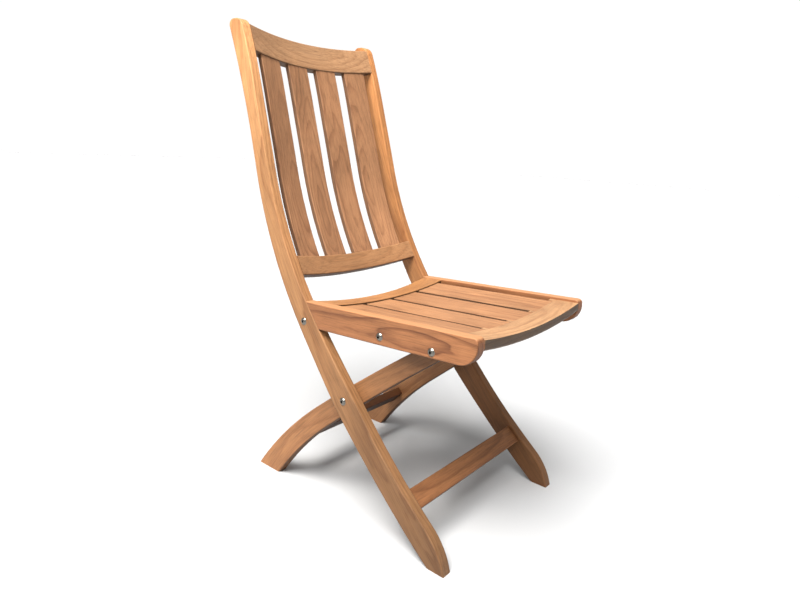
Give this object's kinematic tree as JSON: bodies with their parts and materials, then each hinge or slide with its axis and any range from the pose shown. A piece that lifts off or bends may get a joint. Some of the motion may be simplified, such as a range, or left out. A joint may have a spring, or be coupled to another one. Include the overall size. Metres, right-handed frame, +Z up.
{
  "type": "folding chair",
  "caption": "Folding wooden chair with a high curved back of upright slats, a dished slatted seat, crossed legs and steel stays.",
  "frame": {"origin": "middle of the footprint on the floor, with the chair open", "axes": "+Z up, +X to the sitter's left across the chair, +Y to the rear, so that the chair faces -Y"},
  "size_m": [0.4478, 0.716, 1.037],
  "materials": {
    "stile_teak": "satin",
    "leg_teak": "satin",
    "stretcher_teak": "satin",
    "back_rail_teak": "satin",
    "back_slat_teak": "satin",
    "seat_rail_teak": "satin",
    "seat_end_teak": "satin",
    "seat_slat_teak": "satin",
    "bolt_steel": "polished",
    "washer_steel": "satin",
    "stay_steel": "satin"
  },
  "bodies": {
    "back_frame": {"stile_left": "stile_teak", "stile_right": "stile_teak", "back_top_rail": "back_rail_teak", "back_bottom_rail": "back_rail_teak", "back_slat_1": "back_slat_teak", "back_slat_2": "back_slat_teak", "back_slat_3": "back_slat_teak", "back_slat_4": "back_slat_teak", "front_stretcher": "stretcher_teak", "leg_pivot_bolts": "bolt_steel", "leg_pivot_nuts": "bolt_steel", "leg_pivot_washers": "washer_steel", "stay_pivot_bolts": "bolt_steel", "stay_pivot_nuts": "bolt_steel", "stay_pivot_washers": "washer_steel"},
    "legs": {"rear_leg_left": "leg_teak", "rear_leg_right": "leg_teak", "rear_stretcher": "stretcher_teak"},
    "seat": {"seat_rail_left": "seat_rail_teak", "seat_rail_right": "seat_rail_teak", "seat_front_rail": "seat_end_teak", "seat_rear_rail": "seat_end_teak", "seat_slat_1": "seat_slat_teak", "seat_slat_2": "seat_slat_teak", "seat_slat_3": "seat_slat_teak", "seat_slat_4": "seat_slat_teak", "seat_pivot_bolts": "bolt_steel", "seat_pivot_nuts": "bolt_steel", "seat_pivot_washers": "washer_steel", "seat_stay_bolts": "bolt_steel"},
    "stays": {"stay_left": "stay_steel", "stay_right": "stay_steel", "stay_studs": "bolt_steel"}
  },
  "joints": [
    {"name": "legs_fold", "type": "hinge", "parent": "back_frame", "child": "legs", "pos_m": [0, -0.0522, 0.25], "axis": [-1, 0, 0], "range_deg": [0, 66]},
    {"name": "seat_fold", "type": "hinge", "parent": "legs", "child": "seat", "pos_m": [0, -0.2622, 0.409], "axis": [1, 0, 0], "range_deg": [0, 119]},
    {"name": "stays_fold", "type": "hinge", "parent": "back_frame", "child": "stays", "pos_m": [0, 0.0718, 0.39], "axis": [-1, 0, 0], "range_deg": [0, 89]}
  ],
  "couplings": [
    {"joint": "seat_fold", "follows": "legs_fold", "ratio": 1.793},
    {"joint": "stays_fold", "follows": "legs_fold", "ratio": 1.3388}
  ]
}
